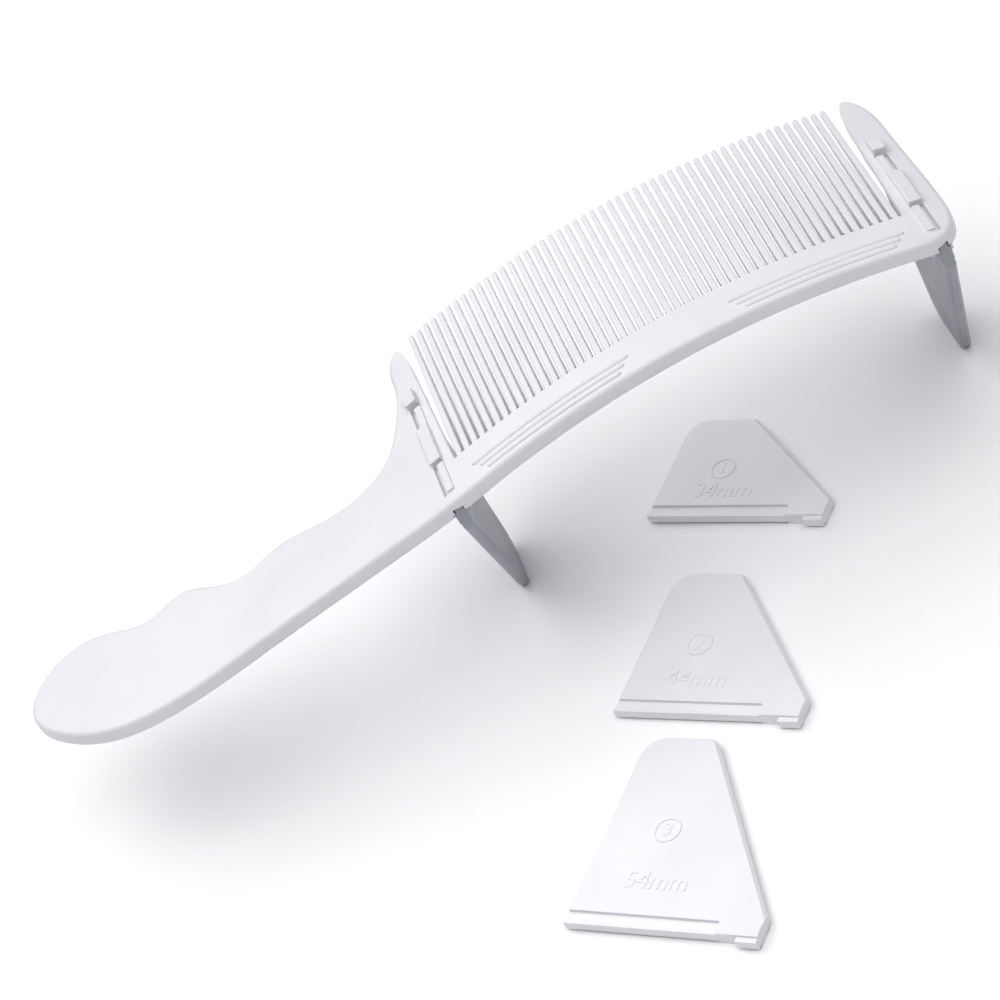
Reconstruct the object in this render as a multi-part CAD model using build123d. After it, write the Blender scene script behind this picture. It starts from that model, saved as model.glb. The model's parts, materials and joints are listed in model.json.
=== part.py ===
"""Arched clipper comb with a grip, two fitted head spacers and three loose ones.

Millimetres, +Z up.  X runs along the comb, from the handle at -X; the teeth point along +Y.
The origin lies on the head line: midway between the two fitted spacers, level with their
narrow ends, in the plane of the tooth roots.
"""

import os
from math import asin, cos, degrees, radians, sin, sqrt

from build123d import *

# toothed arch
ARCH_RADIUS = 242.0
TOOTH_COUNT = 50
TOOTH_PITCH = 2.4
TOOTH_LENGTH = 54.8
TOOTH_ROOT_WIDTH = 1.75
TOOTH_TIP_WIDTH = 1.3
TOOTH_ROOT_DEPTH = 2.8
TOOTH_TIP_DEPTH = 1.4
TOOTH_ROOT_Y = -2.6
TOOTH_DROP = 0.06
SPINE_WIDTH = 13.8
SPINE_THICK = 4.5

# round gap ends, the ledge under them, and the decorative ridges on the spine
RIDGE_ROWS = (-6.9, -9.1, -11.3)
RIDGE_RADIUS = 0.75
RIDGE_SUNK = 0.25
RIDGE_STEPS = 9
RIDGE_LEFT_ENDS = (-55.6, -12.8)
RIDGE_RIGHT_ENDS = (14.6, 57.0)
RIDGE_STAGGER = 1.6
PIT_RADIUS = 0.55
PIT_Y = 0.5
LEDGE_DEPTH = 2.3
LEDGE_LOW = 4.2
LEDGE_FAR = 2.2

# handle
HANDLE_END_X = -190.0
BEND_START_X = -66.0
BEND_RADIUS = 530.0
HANDLE_SLOPE = 7.0
OUTLINE_ROUND = 1.3

# stations used to draw the side view as one smooth curve
ARCH_END_ANGLE = 18.5
SIDE_STATIONS = 12

# spacers: base length, head heights, plate and rail sections
BASE = 50.0
HEIGHTS = {1: 34.0, 2: 44.0, 3: 54.0}
PLATE_THICK = 2.8
FOOT_THICK = 3.2
FOOT_START = 0.79 * BASE
FOOT_HEIGHT = 6.0
NARROW_END = 0.37 * BASE
SQUARE_ROUND = 6.0
SLOPE_ROUND = 3.0
FOOT_CORNER_ROUND = 0.6
RAIL_HEIGHT = 3.5
WEB_THICK = 1.2
BEAD_THICK = 2.2
BEAD_HEIGHT = 1.0
TAB_LENGTH = 0.105 * BASE
TAB_HEIGHT = 1.4
TAB_THICK = 2.2
EDGE_BEVEL = 0.7

# end walls and their rail channels
RAIL_X = 64.0
RAIL_LEAN = 1.3
RAIL_DROP = 4.0
RAIL_FAR_Y = 37.4
CLEARANCE = 0.3
SKIN = 2.3
HOUSING_HALF = 2.7
HOUSING_FAR_Y = 39.8
HOUSING_NEAR_Y = -9.5
WINDOWS = ((18.0, 28.0), (-9.8, 3.0))
SLOT_NEAR = 0.25
SLOT_FAR = 1.6
SLOT_DEPTH = 1.1
KNOB_RISE = 1.9
PAD_RISE = 1.2
FINGER_RISE = 0.5

# loose spacers lying flat: number, and x and y of the middle of the base
LOOSE = ((1, -8.5, 1.0), (2, -36.0, -58.0), (3, -65.5, -113.0))
LOOSE_TURN = -40.0

ARCH_CENTRE_Z = -ARCH_RADIUS


def arch_angle(x):
    """Angle of the arch's outward normal from +Z, at x on its top surface."""
    return degrees(asin(x / ARCH_RADIUS))


def arch_top(x):
    return sqrt(ARCH_RADIUS**2 - x**2) - ARCH_RADIUS


CROWN_Z = RAIL_DROP + HEIGHTS[3] * cos(radians(RAIL_LEAN)) - arch_top(RAIL_X)


def side_points(depth):
    """Points along the comb's side view, depth below its top: arch, reverse bend, handle."""
    steep = radians(arch_angle(-BEND_START_X))
    slope = radians(HANDLE_SLOPE)
    radius = ARCH_RADIUS - depth
    outer = BEND_RADIUS + depth
    bend_x = BEND_START_X - BEND_RADIUS * sin(steep)
    bend_z = arch_top(BEND_START_X) + BEND_RADIUS * cos(steep)
    points = []
    for i in range(SIDE_STATIONS + 1):
        a = radians(ARCH_END_ANGLE) - i / SIDE_STATIONS * (radians(ARCH_END_ANGLE) + steep)
        points.append((radius * sin(a), radius * cos(a) - ARCH_RADIUS))
    for i in range(1, 4):
        a = steep + i / 3 * (slope - steep)
        points.append((bend_x + outer * sin(a), bend_z - outer * cos(a)))
    bend_end = points[-1]
    run = (bend_end[0] - HANDLE_END_X) / cos(slope)
    points.append((bend_end[0] - run / 2 * cos(slope), bend_end[1] - run / 2 * sin(slope)))
    points.append((bend_end[0] - run * cos(slope), bend_end[1] - run * sin(slope)))
    return points


def band():
    """Curved slab with the side view's shape, wide enough for the whole plan outline."""
    top = side_points(0.0)
    low = side_points(SPINE_THICK)
    with BuildSketch(Plane.XZ.offset(-70.0)) as side:
        with BuildLine():
            Spline(*top)
            Line(top[-1], low[-1])
            Spline(*low)
            Line(low[0], top[0])
        make_face()
    return extrude(side.sketch, amount=100.0)


def plan_outline():
    """The comb's outer edge seen from above, closed across the mouth of the toothed bay."""
    with BuildSketch(Plane.XY.offset(-50.0)) as plan:
        with BuildLine():
            Line((60.0, -SPINE_WIDTH), (-56.0, -SPINE_WIDTH))
            Spline(
                (-56.0, -SPINE_WIDTH), (-85.0, -10.8), (-120.0, -8.0), (-147.0, -7.6),
                (-164.0, -3.6), (-178.0, 7.0), (-184.8, 22.0), (-179.0, 31.8),
                (-167.5, 35.3), (-157.0, 31.2), (-147.5, 27.3), (-139.0, 29.2),
                (-130.0, 24.2), (-121.0, 19.3), (-110.0, 20.6), (-98.0, 17.4),
                (-86.0, 15.3), (-77.0, 18.0), (-71.0, 27.0), (-67.2, 41.0), (-66.2, 50.5),
                (-62.6, 54.0),
                tangents=((-1, 0), (1, 0)),
            )
            Line((-62.6, 54.0), (50.0, 54.0))
            Spline((50.0, 54.0), (57.0, 55.2), (64.3, 56.6), (67.8, 51.0), (69.2, 38.0),
                   (70.2, 4.0), (67.6, -10.0), (60.0, -SPINE_WIDTH), tangents=((1, 0), (-1, 0)))
        make_face()
    return plan.sketch


def bay():
    """The open bay between the end walls, which the teeth fill."""
    with BuildSketch(Plane.XY.offset(-50.0)) as plan:
        with BuildLine():
            Polyline((-61.2, 46.0), (-59.8, 0.0), (59.8, 0.0), (61.2, 47.0))
            Spline((61.2, 47.0), (62.3, 53.4), (65.6, 58.5), tangents=((0.03, 1), (1, 1)))
            Polyline((65.6, 58.5), (65.6, 64.0), (-64.8, 64.0), (-64.8, 54.7))
            Spline((-64.8, 54.7), (-62.7, 52.8), (-61.7, 50.2), (-61.2, 46.0),
                   tangents=((1, -0.5), (0.03, -1)))
        make_face()
    return extrude(plan.sketch, amount=60.0)


def outline_body():
    """Handle, spine and end walls in one curved slab, with rounded rims."""
    slab = band() & extrude(plan_outline(), amount=60.0)
    rims = [e for e in slab.edges() if e.bounding_box().size.X > 1.0]
    return slab.fillet(OUTLINE_ROUND, rims) - bay()


def tooth():
    """One tooth on the crown: tapered, round-tipped, and notched at its root by the gaps' round ends."""
    half_root = TOOTH_ROOT_WIDTH / 2
    half_tip = TOOTH_TIP_WIDTH / 2
    with BuildSketch(Plane.XY.offset(-TOOTH_ROOT_DEPTH)) as plan:
        with BuildLine():
            Line((-half_root, TOOTH_ROOT_Y), (half_root, TOOTH_ROOT_Y))
            Line((half_root, TOOTH_ROOT_Y), (half_tip, TOOTH_LENGTH - half_tip))
            ThreePointArc(
                (half_tip, TOOTH_LENGTH - half_tip),
                (0.0, TOOTH_LENGTH),
                (-half_tip, TOOTH_LENGTH - half_tip),
            )
            Line((-half_tip, TOOTH_LENGTH - half_tip), (-half_root, TOOTH_ROOT_Y))
        make_face()
    with BuildSketch(Plane.YZ) as side:
        with BuildLine():
            Polyline(
                (TOOTH_ROOT_Y, 0.0), (TOOTH_LENGTH, 0.0), (TOOTH_LENGTH, -TOOTH_TIP_DEPTH),
                (TOOTH_ROOT_Y, -TOOTH_ROOT_DEPTH), close=True,
            )
        make_face()
    blank = extrude(plan.sketch, amount=TOOTH_ROOT_DEPTH) & extrude(side.sketch, amount=3, both=True)
    long_edges = [e for e in blank.edges() if e.bounding_box().size.Y > TOOTH_LENGTH / 2]
    notches = [Pos(x, PIT_Y, 0) * Cylinder(PIT_RADIUS, 10.0) for x in (-TOOTH_PITCH / 2, TOOTH_PITCH / 2)]
    return blank.fillet(0.32, long_edges).cut(*notches)


def on_arch(shape, arc_length):
    """Carry a shape made at the crown round the arch by a length along its top."""
    centre = Location((0, 0, ARCH_CENTRE_Z))
    turn = Location((0, 0, 0), (0, degrees(arc_length / ARCH_RADIUS), 0))
    return centre * turn * centre.inverse() * shape


def teeth():
    first = -(TOOTH_COUNT - 1) / 2 * TOOTH_PITCH
    blank = Pos(0, 0, -TOOTH_DROP) * tooth()
    return [on_arch(blank, first + i * TOOTH_PITCH) for i in range(TOOTH_COUNT)]


def root_ledge():
    """Thin floor under the tooth roots, closing the bottom of each gap where it starts."""
    length = LEDGE_FAR + 1.0
    ring = Cylinder(ARCH_RADIUS - LEDGE_DEPTH, length) - Cylinder(ARCH_RADIUS - LEDGE_LOW, length)
    around = Pos(0, LEDGE_FAR - length / 2, ARCH_CENTRE_Z) * Rot(90, 0, 0) * ring
    return around & box_between((-60.6, -2.0, -20.0), (60.6, LEDGE_FAR + 1.0, 5.0))


def ridge(y, start_x, end_x):
    """A round-topped ridge that follows the arch between two stations in short straight steps."""
    radius = ARCH_RADIUS - RIDGE_SUNK
    start = radians(arch_angle(start_x))
    step = (radians(arch_angle(end_x)) - start) / RIDGE_STEPS
    angles = [start + i * step for i in range(RIDGE_STEPS + 1)]
    points = [(radius * sin(a), y, radius * cos(a) - ARCH_RADIUS) for a in angles]
    path = Polyline(*points)
    profile = Plane(points[0], z_dir=path % 0) * Circle(RIDGE_RADIUS)
    bar = sweep(profile, path, transition=Transition.RIGHT)
    return bar + Pos(points[0]) * Sphere(RIDGE_RADIUS) + Pos(points[-1]) * Sphere(RIDGE_RADIUS)


def ridges():
    bars = []
    for i, y in enumerate(RIDGE_ROWS):
        shift = i * RIDGE_STAGGER
        bars.append(ridge(y, RIDGE_LEFT_ENDS[0] + shift, RIDGE_LEFT_ENDS[1] - shift))
        bars.append(ridge(y, RIDGE_RIGHT_ENDS[0] + shift, RIDGE_RIGHT_ENDS[1] - shift))
    return bars


def box_between(low, high):
    size = [b - a for a, b in zip(low, high)]
    centre = [(a + b) / 2 for a, b in zip(low, high)]
    return Pos(*centre) * Box(*size)


def housing():
    """Deeper wall under each end, in the rail's own frame."""
    depth = RAIL_DROP + RAIL_HEIGHT - CLEARANCE
    block = box_between((-HOUSING_HALF, HOUSING_NEAR_Y, -depth), (HOUSING_HALF, HOUSING_FAR_Y, -1.4))
    return block.fillet(0.6, block.edges().filter_by(Axis.Z))


def channel():
    """Room for the rail: bead and web along the wall, foot and tab at the open end."""
    mouth = -SPINE_WIDTH - 3.0
    far = RAIL_FAR_Y + CLEARANCE
    bead_half = BEAD_THICK / 2 + CLEARANCE
    web_half = WEB_THICK / 2 + CLEARANCE
    foot_half = FOOT_THICK / 2 + CLEARANCE
    tab_half = TAB_THICK / 2 + CLEARANCE
    foot_far = RAIL_FAR_Y - FOOT_START + CLEARANCE
    tab_far = RAIL_FAR_Y - BASE + TAB_LENGTH + CLEARANCE
    bead_top = -RAIL_DROP + CLEARANCE
    bead_low = -RAIL_DROP - BEAD_HEIGHT - CLEARANCE
    cut = box_between((-bead_half, mouth, bead_low), (bead_half, far, bead_top))
    cut += box_between((-web_half, mouth, -12.0), (web_half, far, bead_low + 0.1))
    cut += box_between((-foot_half, mouth, -12.0), (foot_half, foot_far, bead_top))
    cut += box_between((-tab_half, mouth, bead_top - 0.1), (tab_half, tab_far, -SKIN))
    return cut


def window_slots():
    """Blind slots beside each finger, turning across its free end."""
    cut = None
    for low_y, high_y in WINDOWS:
        slot = box_between((SLOT_NEAR, low_y, -SLOT_DEPTH), (SLOT_FAR, high_y, 3.0))
        cross = box_between((-SLOT_FAR, high_y - 1.1, -SLOT_DEPTH), (SLOT_FAR, high_y, 3.0))
        cut = slot + cross if cut is None else cut + slot + cross
    return cut


def wall_blocks():
    """Raised blocks ahead of each window and fingers beside the slots."""
    knob = box_between((-1.7, 28.0, -1.0), (1.7, 33.5, KNOB_RISE))
    pad = box_between((-1.7, 3.0, -1.0), (1.7, 18.0, PAD_RISE))
    parts = rounded_block(knob) + rounded_block(pad)
    for low_y, high_y in WINDOWS:
        finger = box_between((-1.6, low_y + 0.4, -1.0), (SLOT_NEAR, high_y - 1.1, FINGER_RISE))
        parts += finger.fillet(0.3, finger.edges().filter_by(Axis.Z))
    return parts


def rounded_block(block):
    """Soften a block's upright edges, then the rim of its top."""
    soft = block.fillet(0.5, block.edges().filter_by(Axis.Z))
    return soft.fillet(0.35, soft.faces().sort_by(Axis.Z)[-1].edges())


def rail_frame():
    """The right wall's rail frame: origin on the top surface, leaning in at the foot."""
    return Location((RAIL_X, 0, arch_top(RAIL_X)), (0, RAIL_LEAN, 0))


def surface_frame():
    return Location((RAIL_X, 0, arch_top(RAIL_X)), (0, arch_angle(RAIL_X), 0))


def both_ends(shape):
    return [shape, mirror(shape, about=Plane.YZ)]


def comb_body():
    body = outline_body()
    body = body.fuse(*both_ends(rail_frame() * housing()))
    body = body.fuse(*both_ends(surface_frame() * wall_blocks()))
    body = body.fuse(*ridges())
    body = body.fuse(root_ledge(), *teeth())
    body = body.cut(*both_ends(rail_frame() * channel()))
    return body.cut(*both_ends(surface_frame() * window_slots()))


def plate_profile(height):
    """Side outline of a spacer below its rail: square edge at y 0, hook end at y -BASE."""
    with BuildSketch(Plane.YZ) as side:
        with BuildLine():
            Polyline(
                (0.0, -RAIL_HEIGHT), (-FOOT_START, -RAIL_HEIGHT), (-FOOT_START, 0.0), (-BASE, 0.0),
                (-BASE, -FOOT_HEIGHT), (-NARROW_END, -height), (0.0, -height), close=True,
            )
        make_face()
        corners = (((0.0, -height), SQUARE_ROUND), ((-NARROW_END, -height), SLOPE_ROUND),
                   ((-FOOT_START, -RAIL_HEIGHT), FOOT_CORNER_ROUND))
        for corner, radius in corners:
            fillet(side.vertices().sort_by_distance(corner)[0], radius)
    return side.sketch


def spacer(height):
    """A spacer plate: bevelled plate, thick foot, hook tab and beaded rail."""
    plate = extrude(plate_profile(height), amount=PLATE_THICK / 2, both=True)
    bevelled = [e for e in plate.edges() if is_plate_rim(e)]
    plate = plate.chamfer(EDGE_BEVEL, None, bevelled)
    foot = box_between((-FOOT_THICK / 2, -BASE, -RAIL_HEIGHT), (FOOT_THICK / 2, -FOOT_START, 0.0))
    tab = box_between((-TAB_THICK / 2, -BASE, -1.0), (TAB_THICK / 2, -BASE + TAB_LENGTH, TAB_HEIGHT))
    web = box_between((-WEB_THICK / 2, -FOOT_START - 1.0, -RAIL_HEIGHT - 0.5), (WEB_THICK / 2, 0.0, -0.1))
    bead = box_between((-BEAD_THICK / 2, -FOOT_START - 1.0, -BEAD_HEIGHT), (BEAD_THICK / 2, 0.0, 0.0))
    return plate.fuse(foot, tab, web, bead)


def is_plate_rim(edge):
    """Rim edges along the slope, the narrow end and the square edge, on both faces."""
    middle = edge.center()
    on_face = edge.bounding_box().size.X < 0.01
    return on_face and middle.Z < -RAIL_HEIGHT - 2.5


def fitted_spacer():
    return rail_frame() * Pos(0, RAIL_FAR_Y, -RAIL_DROP) * spacer(HEIGHTS[3])


def loose_spacer(number, x, y):
    """A spacer lying on its side, its base and hook towards the front."""
    lying = Location(Plane((0, 0, 0), x_dir=(0, 0, 1), z_dir=(0, -1, 0)))
    flat = Pos(-BASE / 2, 0, 0) * lying * spacer(HEIGHTS[number])
    return Pos(x, y, FOOT_THICK / 2) * Rot(0, 0, LOOSE_TURN) * flat


def write(shape, name):
    solid = shape.solid() if len(shape.solids()) == 1 else shape
    export_step(solid, f"parts/{name}.step")


def main():
    os.makedirs("parts", exist_ok=True)
    lift = Pos(0, 0, CROWN_Z)
    write(lift * comb_body(), "comb_body")
    write(lift * fitted_spacer(), "spacer_right")
    write(lift * mirror(fitted_spacer(), about=Plane.YZ), "spacer_left")
    for number, x, y in LOOSE:
        write(loose_spacer(number, x, y), f"spare_spacer_{number}")


main()
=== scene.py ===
"""Looks for the arched clipper comb: moulded plastic, size marks, a pale studio and the camera.

Lengths are in millimetres and are turned into metres by MM.
"""

import json
import math

import bpy
from mathutils import Matrix, Vector


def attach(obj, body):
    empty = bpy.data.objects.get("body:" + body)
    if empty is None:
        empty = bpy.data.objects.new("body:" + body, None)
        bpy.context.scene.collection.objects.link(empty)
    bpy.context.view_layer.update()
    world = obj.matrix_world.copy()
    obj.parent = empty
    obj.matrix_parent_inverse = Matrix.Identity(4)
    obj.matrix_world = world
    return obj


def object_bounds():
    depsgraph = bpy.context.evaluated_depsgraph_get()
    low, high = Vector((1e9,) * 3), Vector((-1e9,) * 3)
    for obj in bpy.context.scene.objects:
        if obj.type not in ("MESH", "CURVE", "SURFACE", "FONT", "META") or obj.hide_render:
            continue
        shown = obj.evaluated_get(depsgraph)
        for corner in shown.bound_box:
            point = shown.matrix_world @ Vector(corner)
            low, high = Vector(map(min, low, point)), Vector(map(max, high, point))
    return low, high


MM = 0.001

# spacer face marks, measured from the square corner along the base and up from it
BASE = 50.0
PLATE_THICK = 2.8
LOOSE_TURN = math.radians(-40.0)
TAB_HEIGHT = 1.4
NARROW_MIDDLE = 12.0
HEIGHTS = {1: 34.0, 2: 44.0, 3: 54.0}
MARK_RISE = 0.2
RING_RADIUS = 3.2
RING_WIDTH = 0.62
RING_PLACE = {1: (16.0, 16.0), 2: (15.5, 21.0), 3: (16.5, 27.0)}
WORDS_PLACE = {1: (19.0, 8.3), 2: (19.0, 10.2), 3: (19.5, 12.6)}
WORDS_SIZE = 6.6
NUMERAL_SIZE = 5.4
LETTER_BEVEL = 0.03
RING_SLOPE = 0.08
RING_STEPS = 64

# camera, from its aim point on the comb
AIM = Vector((-53.4, -26.2, 61.55))
CAMERA_DISTANCE = 728.6
CAMERA_AZIMUTH = math.radians(-4.74)
CAMERA_ELEVATION = math.radians(36.81)
CAMERA_ROLL = math.radians(31.23)
LENS = 114.5
SENSOR_WIDTH = 36.0

# studio, in metres and watts; a light's place is measured from the middle of the comb
FLOOR_HALF = 6.0
FLOOR_CLEARANCE = 0.00005
KEY_PLACE = Vector((-0.5, 0.9, 1.1))
KEY_SIZE = (1.2, 1.0)
KEY_POWER = 6.2
OVERHEAD_PLACE = Vector((0.0, -0.35, 1.5))
OVERHEAD_SIZE = (2.0, 1.8)
OVERHEAD_POWER = 12.2
DOME_AT_HORIZON = 0.10
DOME_OVERHEAD = 0.77
DOME_FULL_HEIGHT = 0.8
BACKDROP = 1.0
GAMMA = 0.75

# plastics: pale colour, shaded colour, roughness
PLASTICS = {
    "comb_plastic": ((0.80, 0.79, 0.81), (0.77, 0.76, 0.785), 0.36),
    "spacer_plastic": ((0.86, 0.855, 0.87), (0.83, 0.825, 0.845), 0.40),
    # fitted spacers: the same pale plastic as the loose spacers, painted darker grey as painted shade
    # for the shade under the comb
    "fitted_spacer_plastic": ((0.44, 0.45, 0.48), (0.40, 0.41, 0.44), 0.38),
}


def node_setup(material):
    material.use_nodes = True
    nodes = material.node_tree.nodes
    return nodes, material.node_tree.links, nodes["Principled BSDF"]


def add_noise(nodes, links, coords, scale, detail, roughness=0.5):
    noise = nodes.new("ShaderNodeTexNoise")
    noise.inputs["Scale"].default_value = scale
    noise.inputs["Detail"].default_value = detail
    noise.inputs["Roughness"].default_value = roughness
    links.new(coords.outputs["Object"], noise.inputs["Vector"])
    return noise


def map_range(nodes, links, source, low, high, start=0.3, end=0.7):
    remap = nodes.new("ShaderNodeMapRange")
    remap.inputs["From Min"].default_value = start
    remap.inputs["From Max"].default_value = end
    remap.inputs["To Min"].default_value = low
    remap.inputs["To Max"].default_value = high
    links.new(source, remap.inputs["Value"])
    return remap


def moulded_plastic(name, pale, shaded, roughness):
    """Moulded plastic: faint clouding, satin patches, fine moulded grain and soft flow ripples."""
    material = bpy.data.materials.new(name)
    nodes, links, shader = node_setup(material)
    coords = nodes.new("ShaderNodeTexCoord")
    clouds = add_noise(nodes, links, coords, 38.0, 3.0)
    ramp = nodes.new("ShaderNodeValToRGB")
    ramp.color_ramp.elements[0].position = 0.35
    ramp.color_ramp.elements[0].color = (*shaded, 1.0)
    ramp.color_ramp.elements[1].position = 0.65
    ramp.color_ramp.elements[1].color = (*pale, 1.0)
    links.new(clouds.outputs["Fac"], ramp.inputs["Fac"])
    links.new(ramp.outputs["Color"], shader.inputs["Base Color"])

    satin = add_noise(nodes, links, coords, 120.0, 4.0)
    gloss = map_range(nodes, links, satin.outputs["Fac"], roughness - 0.06, roughness + 0.07)
    links.new(gloss.outputs["Result"], shader.inputs["Roughness"])

    grain = add_noise(nodes, links, coords, 2600.0, 2.0, 0.6)
    ripple = add_noise(nodes, links, coords, 60.0, 2.0)
    fine = nodes.new("ShaderNodeBump")
    fine.inputs["Strength"].default_value = 0.10
    fine.inputs["Distance"].default_value = 0.00004
    links.new(grain.outputs["Fac"], fine.inputs["Height"])
    broad = nodes.new("ShaderNodeBump")
    broad.inputs["Strength"].default_value = 0.12
    broad.inputs["Distance"].default_value = 0.0004
    links.new(ripple.outputs["Fac"], broad.inputs["Height"])
    links.new(fine.outputs["Normal"], broad.inputs["Normal"])
    links.new(broad.outputs["Normal"], shader.inputs["Normal"])
    shader.inputs["IOR"].default_value = 1.49
    shader.inputs["Specular IOR Level"].default_value = 0.5
    return material


def floor_material():
    material = bpy.data.materials.new("studio_floor")
    nodes, links, shader = node_setup(material)
    coords = nodes.new("ShaderNodeTexCoord")
    mottling = add_noise(nodes, links, coords, 6.0, 2.0)
    ramp = nodes.new("ShaderNodeValToRGB")
    ramp.color_ramp.elements[0].color = (0.93, 0.93, 0.935, 1.0)
    ramp.color_ramp.elements[1].color = (0.95, 0.95, 0.955, 1.0)
    links.new(mottling.outputs["Fac"], ramp.inputs["Fac"])
    links.new(ramp.outputs["Color"], shader.inputs["Base Color"])
    shader.inputs["Roughness"].default_value = 0.9
    return material


def assign(obj, material):
    for slot in obj.material_slots:
        slot.material = material
    if not obj.material_slots:
        obj.data.materials.append(material)


def text_mesh(words, size, rise, name):
    """Raised lettering, centred on its own origin, as a mesh."""
    curve = bpy.data.curves.new(name, "FONT")
    curve.body = words
    curve.size = size * MM
    curve.align_x = "CENTER"
    curve.align_y = "CENTER"
    curve.extrude = rise * MM / 2
    curve.bevel_depth = LETTER_BEVEL * MM
    curve.resolution_u = 4
    source = bpy.data.objects.new(name + "_source", curve)
    bpy.context.collection.objects.link(source)
    bpy.context.view_layer.update()
    graph = bpy.context.evaluated_depsgraph_get()
    mesh = bpy.data.meshes.new_from_object(source.evaluated_get(graph))
    bpy.data.objects.remove(source)
    return mesh


def ring_mesh(radius, width, rise, name):
    """A flat-topped ring with sloped sides, centred on its own origin."""
    foot, top = width / 2, width / 2 - RING_SLOPE
    section = ((-foot, 0.0), (-top, rise), (top, rise), (foot, 0.0))
    verts = []
    for i in range(RING_STEPS):
        turn = 2 * math.pi * i / RING_STEPS
        for off, height in section:
            reach = (radius + off) * MM
            verts.append((reach * math.cos(turn), reach * math.sin(turn), height * MM))
    faces = []
    count = len(section)
    for i in range(RING_STEPS):
        j = (i + 1) % RING_STEPS
        for k in range(count):
            m = (k + 1) % count
            faces.append((i * count + k, j * count + k, j * count + m, i * count + m))
    mesh = bpy.data.meshes.new(name)
    mesh.from_pydata(verts, [], faces)
    mesh.update()
    return mesh


def place_mark(mesh, name, frame_matrix, u, v, body, material):
    mesh.materials.clear()
    mesh.materials.append(material)
    mesh.transform(frame_matrix @ Matrix.Translation((u * MM, v * MM, 0.0)))
    mark = bpy.data.objects.new(name, mesh)
    bpy.context.collection.objects.link(mark)
    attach(mark, body)


def mark_spacer(number, frame_matrix, node, body, material, from_hook=False):
    """Circled number and millimetre size on a spacer's face, in the face's own frame."""
    ring_u, ring_v = RING_PLACE[number]
    words_u, words_v = WORDS_PLACE[number]
    if from_hook:
        ring_u, words_u = BASE - ring_u, BASE - words_u
    ring = ring_mesh(RING_RADIUS, RING_WIDTH, MARK_RISE, node + "_ring")
    numeral = text_mesh(str(number), NUMERAL_SIZE, MARK_RISE, node + "_numeral")
    words = text_mesh(f"{HEIGHTS[number]:.0f}mm", WORDS_SIZE, MARK_RISE, node + "_size_mark")
    place_mark(ring, node + "_ring", frame_matrix, ring_u, ring_v, body, material)
    place_mark(numeral, node + "_numeral", frame_matrix, ring_u, ring_v, body, material)
    place_mark(words, node + "_size_mark", frame_matrix, words_u, words_v, body, material)


def basis(along, up, out, origin):
    """Matrix whose X, Y and Z are the face's base direction, height direction and outward normal."""
    rows = [(along[i], up[i], out[i], origin[i]) for i in range(3)]
    return Matrix((*rows, (0.0, 0.0, 0.0, 1.0)))


def loose_face(node_object):
    """Face frame of a loose spacer, found from its own mesh: origin at the square end of its base."""
    along = Vector((math.cos(LOOSE_TURN), math.sin(LOOSE_TURN), 0.0))
    up = Vector((-math.sin(LOOSE_TURN), math.cos(LOOSE_TURN), 0.0))
    points = [v.co for v in node_object.data.vertices]
    start = min(p.dot(along) for p in points)
    base = min(p.dot(up) for p in points) + TAB_HEIGHT * MM
    middle = (min(p.z for p in points) + max(p.z for p in points)) / 2
    face = middle + PLATE_THICK / 2 * MM
    origin = along * start + up * base + Vector((0.0, 0.0, face))
    return basis(along, up, Vector((0.0, 0.0, 1.0)), origin)


def fitted_face(mount, outward_sign):
    """Face frame of a fitted spacer's outer face, found from its narrow end's mount."""
    up = Vector(mount["axis"]).normalized()
    along = Vector((0.0, -outward_sign, 0.0))
    out = along.cross(up)
    end = Vector(mount["pos_m"])
    reach = NARROW_MIDDLE if outward_sign > 0 else BASE - NARROW_MIDDLE
    origin = end - up * HEIGHTS[3] * MM - along * reach * MM + out * PLATE_THICK / 2 * MM
    return basis(along, up, out, origin)


def mark_loose_spacers(frame, material):
    for number in HEIGHTS:
        node = f"spare_spacer_{number}"
        face = loose_face(frame["nodes"][node])
        mark_spacer(number, face, node, f"spare_{number}", material)


# the fitted spacers' marks get the same painted-shade grey as the fitted spacers
def mark_fitted_spacers(frame, material):
    mounts = {m["name"]: m for m in frame["record"]["mounts"]}
    right = fitted_face(mounts["head_contact_right"], 1)
    mark_spacer(3, right, "spacer_right", "right_spacer", material)
    left = fitted_face(mounts["head_contact_left"], -1)
    mark_spacer(3, left, "spacer_left", "left_spacer", material, from_hook=True)


def dress_nodes(frame, materials):
    """Give each CAD node the plastic of its material slot in the record."""
    slots = {row["node"]: row["material_slot"] for row in frame["record"]["subparts"]}
    for name, obj in frame["nodes"].items():
        assign(obj, materials[slots[name]])


def add_floor(low, material):
    half = FLOOR_HALF
    level = low.z - FLOOR_CLEARANCE
    mesh = bpy.data.meshes.new("floor")
    corners = [(x * half, y * half, level) for x, y in ((-1, -1), (1, -1), (1, 1), (-1, 1))]
    mesh.from_pydata(corners, [], [(0, 1, 2, 3)])
    mesh.materials.append(material)
    floor = bpy.data.objects.new("floor", mesh)
    bpy.context.collection.objects.link(floor)


def area_light(name, place, target, size, power):
    data = bpy.data.lights.new(name, "AREA")
    data.shape = "RECTANGLE"
    data.size = size[0]
    data.size_y = size[1]
    data.energy = power
    light = bpy.data.objects.new(name, data)
    light.location = place
    light.rotation_mode = "QUATERNION"
    light.rotation_quaternion = (target - place).to_track_quat("-Z", "Y")
    bpy.context.collection.objects.link(light)


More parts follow.
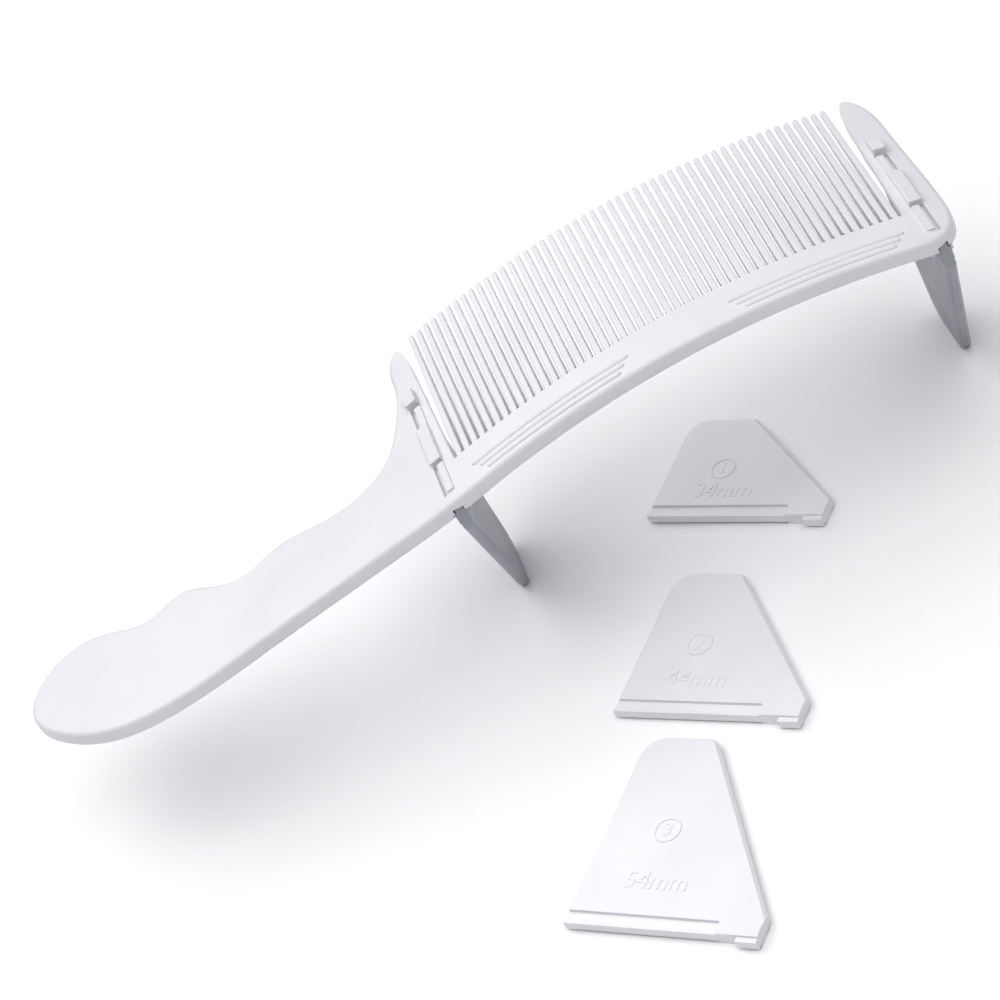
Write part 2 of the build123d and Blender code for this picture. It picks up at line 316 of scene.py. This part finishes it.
def add_lights(centre):
    """Two soft lights under a graded dome; what the camera sees past the floor is plain and pale."""
    area_light("key_from_behind", centre + KEY_PLACE, centre, KEY_SIZE, KEY_POWER)
    area_light("overhead", centre + OVERHEAD_PLACE, centre, OVERHEAD_SIZE, OVERHEAD_POWER)
    world = bpy.data.worlds.new("studio")
    bpy.context.scene.world = world
    world.use_nodes = True
    nodes, links = world.node_tree.nodes, world.node_tree.links
    sky = nodes["Background"]
    sky.inputs["Color"].default_value = (0.98, 0.98, 1.0, 1.0)
    coords = nodes.new("ShaderNodeTexCoord")
    split = nodes.new("ShaderNodeSeparateXYZ")
    links.new(coords.outputs["Generated"], split.inputs["Vector"])
    height = split.outputs["Z"]
    dome = map_range(nodes, links, height, DOME_AT_HORIZON, DOME_OVERHEAD, 0.0, DOME_FULL_HEIGHT)
    rays = nodes.new("ShaderNodeLightPath")
    backdrop = nodes.new("ShaderNodeMix")
    backdrop.inputs["B"].default_value = BACKDROP
    links.new(rays.outputs["Is Camera Ray"], backdrop.inputs["Factor"])
    links.new(dome.outputs["Result"], backdrop.inputs["A"])
    links.new(backdrop.outputs["Result"], sky.inputs["Strength"])
    bpy.context.scene.view_settings.view_transform = "Standard"
    bpy.context.scene.view_settings.gamma = GAMMA


def add_camera():
    forward = Vector((
        math.sin(CAMERA_AZIMUTH) * math.cos(CAMERA_ELEVATION),
        math.cos(CAMERA_AZIMUTH) * math.cos(CAMERA_ELEVATION),
        -math.sin(CAMERA_ELEVATION),
    ))
    level_right = forward.cross(Vector((0.0, 0.0, 1.0))).normalized()
    level_up = level_right.cross(forward)
    right = level_right * math.cos(CAMERA_ROLL) - level_up * math.sin(CAMERA_ROLL)
    up = level_right * math.sin(CAMERA_ROLL) + level_up * math.cos(CAMERA_ROLL)
    data = bpy.data.cameras.new("camera")
    data.lens = LENS
    data.sensor_width = SENSOR_WIDTH
    data.clip_start = 0.05
    data.clip_end = 30.0
    camera = bpy.data.objects.new("camera", data)
    place = (AIM - forward * CAMERA_DISTANCE) * MM
    camera.matrix_world = basis(right, up, -forward, place)
    bpy.context.collection.objects.link(camera)
    bpy.context.scene.camera = camera


with open("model.json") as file:
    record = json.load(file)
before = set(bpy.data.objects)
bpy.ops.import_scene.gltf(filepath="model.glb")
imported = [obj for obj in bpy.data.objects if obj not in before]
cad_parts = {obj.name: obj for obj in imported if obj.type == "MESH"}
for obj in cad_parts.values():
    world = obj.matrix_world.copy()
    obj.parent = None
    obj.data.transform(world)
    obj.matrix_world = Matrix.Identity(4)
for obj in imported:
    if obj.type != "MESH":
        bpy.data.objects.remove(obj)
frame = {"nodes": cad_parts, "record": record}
cad_low, cad_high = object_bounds()
plastics = {name: moulded_plastic(name, *look) for name, look in PLASTICS.items()}
dress_nodes(frame, plastics)
mark_loose_spacers(frame, plastics["spacer_plastic"])
# the fitted spacers' marks take the darker painted-shade copy of the spacer plastic
mark_fitted_spacers(frame, plastics["fitted_spacer_plastic"])
add_floor(cad_low, floor_material())
add_lights((cad_low + cad_high) / 2)
add_camera()
